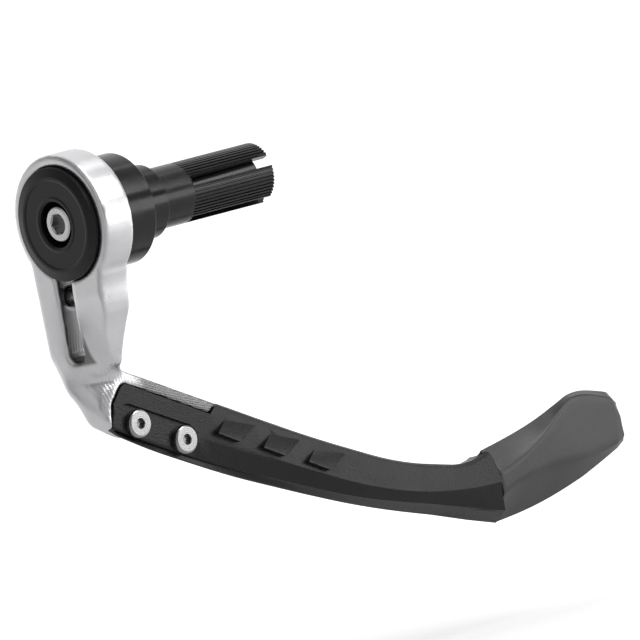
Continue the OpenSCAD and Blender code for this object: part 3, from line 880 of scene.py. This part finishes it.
# %% Finishes on the pieces
finishes = {
    "lever_arm_milled": milled_silver, "end_disc_turned": black_disc, "bar_end_weight_turned": black_body,
    "adaptor_collar_turned": black_body, "expander_sleeve_ribbed": black_sleeve,
    "wedge_nut_turned": black_body, "main_bolt_turned": steel_main,
    "blade_screw_front_turned": steel_front, "blade_screw_rear_turned": steel_rear,
    "pinch_screw_turned": steel_pinch, "guard_blade_moulded": blade_grain, "tip_cap_moulded": tip_grain}
for name, look in finishes.items():
    bpy.data.objects[name].data.materials.clear()
    bpy.data.objects[name].data.materials.append(look)
print("dressed", len(finishes), "pieces")

# %% [markdown]
# The stage is one pale floor that stands a little below the guard, as in a studio where the part
# hangs over white paper.

# %% Floor
floor_drop = 0.03
floor_size = 14

low, high = cad_box
stage_middle = (low + high) / 2
floor_z = low.z - floor_drop
bpy.ops.object.select_all(action="DESELECT")
bpy.ops.mesh.primitive_plane_add(size=floor_size, location=(stage_middle.x, 0, floor_z))
floor = bpy.context.object
floor.name = "floor"
bpy.ops.object.transform_apply(location=True, rotation=True, scale=True)
floor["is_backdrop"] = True
print("floor at", round(floor_z / MM, 1), "mm")

# %% [markdown]
# The photograph's background is plain white, and that mustn't come from more light on the object. So
# white is added only for some rays: those of the camera, and those of reflections and of glass on
# the side that lies away from the camera. On the near side the reflections keep the plain room,
# because black pieces that mirrored white all round would turn grey.

# %% Rays that see the backdrop
def far_side(tree, place, start, end):
    return between(tree, places(tree, "DOT_PRODUCT", place, -camera_back), start, end)


def backdrop_rays(tree, side):
    rays = add_node(tree, "ShaderNodeLightPath").outputs
    either = numbers(tree, "MAXIMUM", rays["Is Glossy Ray"], rays["Is Transmission Ray"])
    return numbers(tree, "MAXIMUM", rays["Is Camera Ray"], numbers(tree, "MULTIPLY", either, side))

# %% [markdown]
# The paper is matt and pale, the lamps light it, and it keeps the soft shadow. The white that is
# added to it grows with the distance from the guard, so that it turns to the photograph's white.

# %% White paper
paper = bpy.data.materials.new("white_paper")
paper.use_nodes = True
tree = paper.node_tree
matt = tree.nodes["Principled BSDF"]
matt.inputs["Base Color"].default_value = (0.8, 0.8, 0.8, 1)
matt.inputs["Roughness"].default_value = 0.9
floor_place = add_node(tree, "ShaderNodeTexCoord").outputs["Object"]
from_guard = places(tree, "DISTANCE", floor_place, (stage_middle.x, 0, floor_z))
reach = between(tree, from_guard, 0.05, 0.4, 0.45, 0.9, interpolation_type="SMOOTHSTEP")
seen = backdrop_rays(tree, far_side(tree, floor_place, -0.1, 0.4))
glow = add_node(tree, "ShaderNodeEmission", {"Strength": numbers(tree, "MULTIPLY", seen, reach)})
both = add_node(tree, "ShaderNodeAddShader", {0: matt.outputs["BSDF"], 1: glow.outputs["Emission"]})
tree.links.new(both.outputs["Shader"], tree.nodes["Material Output"].inputs["Surface"])
floor.data.materials.append(paper)
print("floor is covered with", paper.name)

# %% [markdown]
# Black parts show only what they reflect, so the room matters as much as the lamps. The room is a
# plain grey that grows lighter upwards and to the right, which gives each cylinder its dark side and
# its light side. What the camera sees of it directly is white, by the same rays as the floor's.

# %% World
world = bpy.data.worlds.new("studio")
scene.world = world
world.use_nodes = True
tree = world.node_tree
background = tree.nodes["Background"]
direction = add_node(tree, "ShaderNodeTexCoord").outputs["Generated"]
light_side = (camera_right * 0.5 + camera_up * 0.8).normalized()
room = between(tree, places(tree, "DOT_PRODUCT", direction, light_side), -0.2, 1.0, 0.16, 0.42)
tree.links.new(room, background.inputs["Color"])
white = add_node(tree, "ShaderNodeBackground", {"Color": (1, 1, 1, 1)})
seen = backdrop_rays(tree, far_side(tree, direction, 0.1, 0.7))
choose = add_node(tree, "ShaderNodeMixShader", {
    "Fac": seen, 1: background.outputs["Background"], 2: white.outputs["Background"]})
tree.links.new(choose.outputs["Shader"], tree.nodes["World Output"].inputs["Surface"])
print("world:", world.name)

# %% [markdown]
# The main softbox stands at the upper right, as the bright upper flanks of the bar and the teeth
# show. A second one stands level at the right and lights the edges that face it, a weak fill opens
# the front of the arm, and a narrow strip above draws the sharp line along the black cylinders.

# %% Lamps
lamp_distance = 0.9


def softbox(name, direction, size, power):
    data = bpy.data.lights.new(name, "AREA")
    data.shape = "RECTANGLE"
    data.size, data.size_y = size
    data.energy = power
    lamp = bpy.data.objects.new(name, data)
    scene.collection.objects.link(lamp)
    away = direction.normalized()
    lamp.location = stage_middle + away * lamp_distance
    lamp.rotation_mode = "QUATERNION"
    lamp.rotation_quaternion = away.to_track_quat("Z", "Y")
    lamp.visible_camera = False
    print("lamp:", name, power, "W")


softbox("key", camera_back * 0.4 + camera_right * 0.6 + camera_up * 0.8, (0.45, 0.45), 3.2)
softbox("side", camera_back * 0.1 + camera_right * 1.0 + camera_up * 0.08, (0.6, 0.6), 3.2)
softbox("fill", camera_back * 0.9 - camera_right * 0.9 + camera_up * 0.2, (0.8, 0.8), 0.8)
softbox("strip", camera_back * 0.15 + camera_right * 0.1 + camera_up * 1.0, (0.9, 0.12), 1.2)

# %% Finish
dressed_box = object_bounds()
for plain, dressed in zip(cad_box, dressed_box):
    print("corner in mm:", [round(v * 1000, 2) for v in plain], [round(v * 1000, 2) for v in dressed])
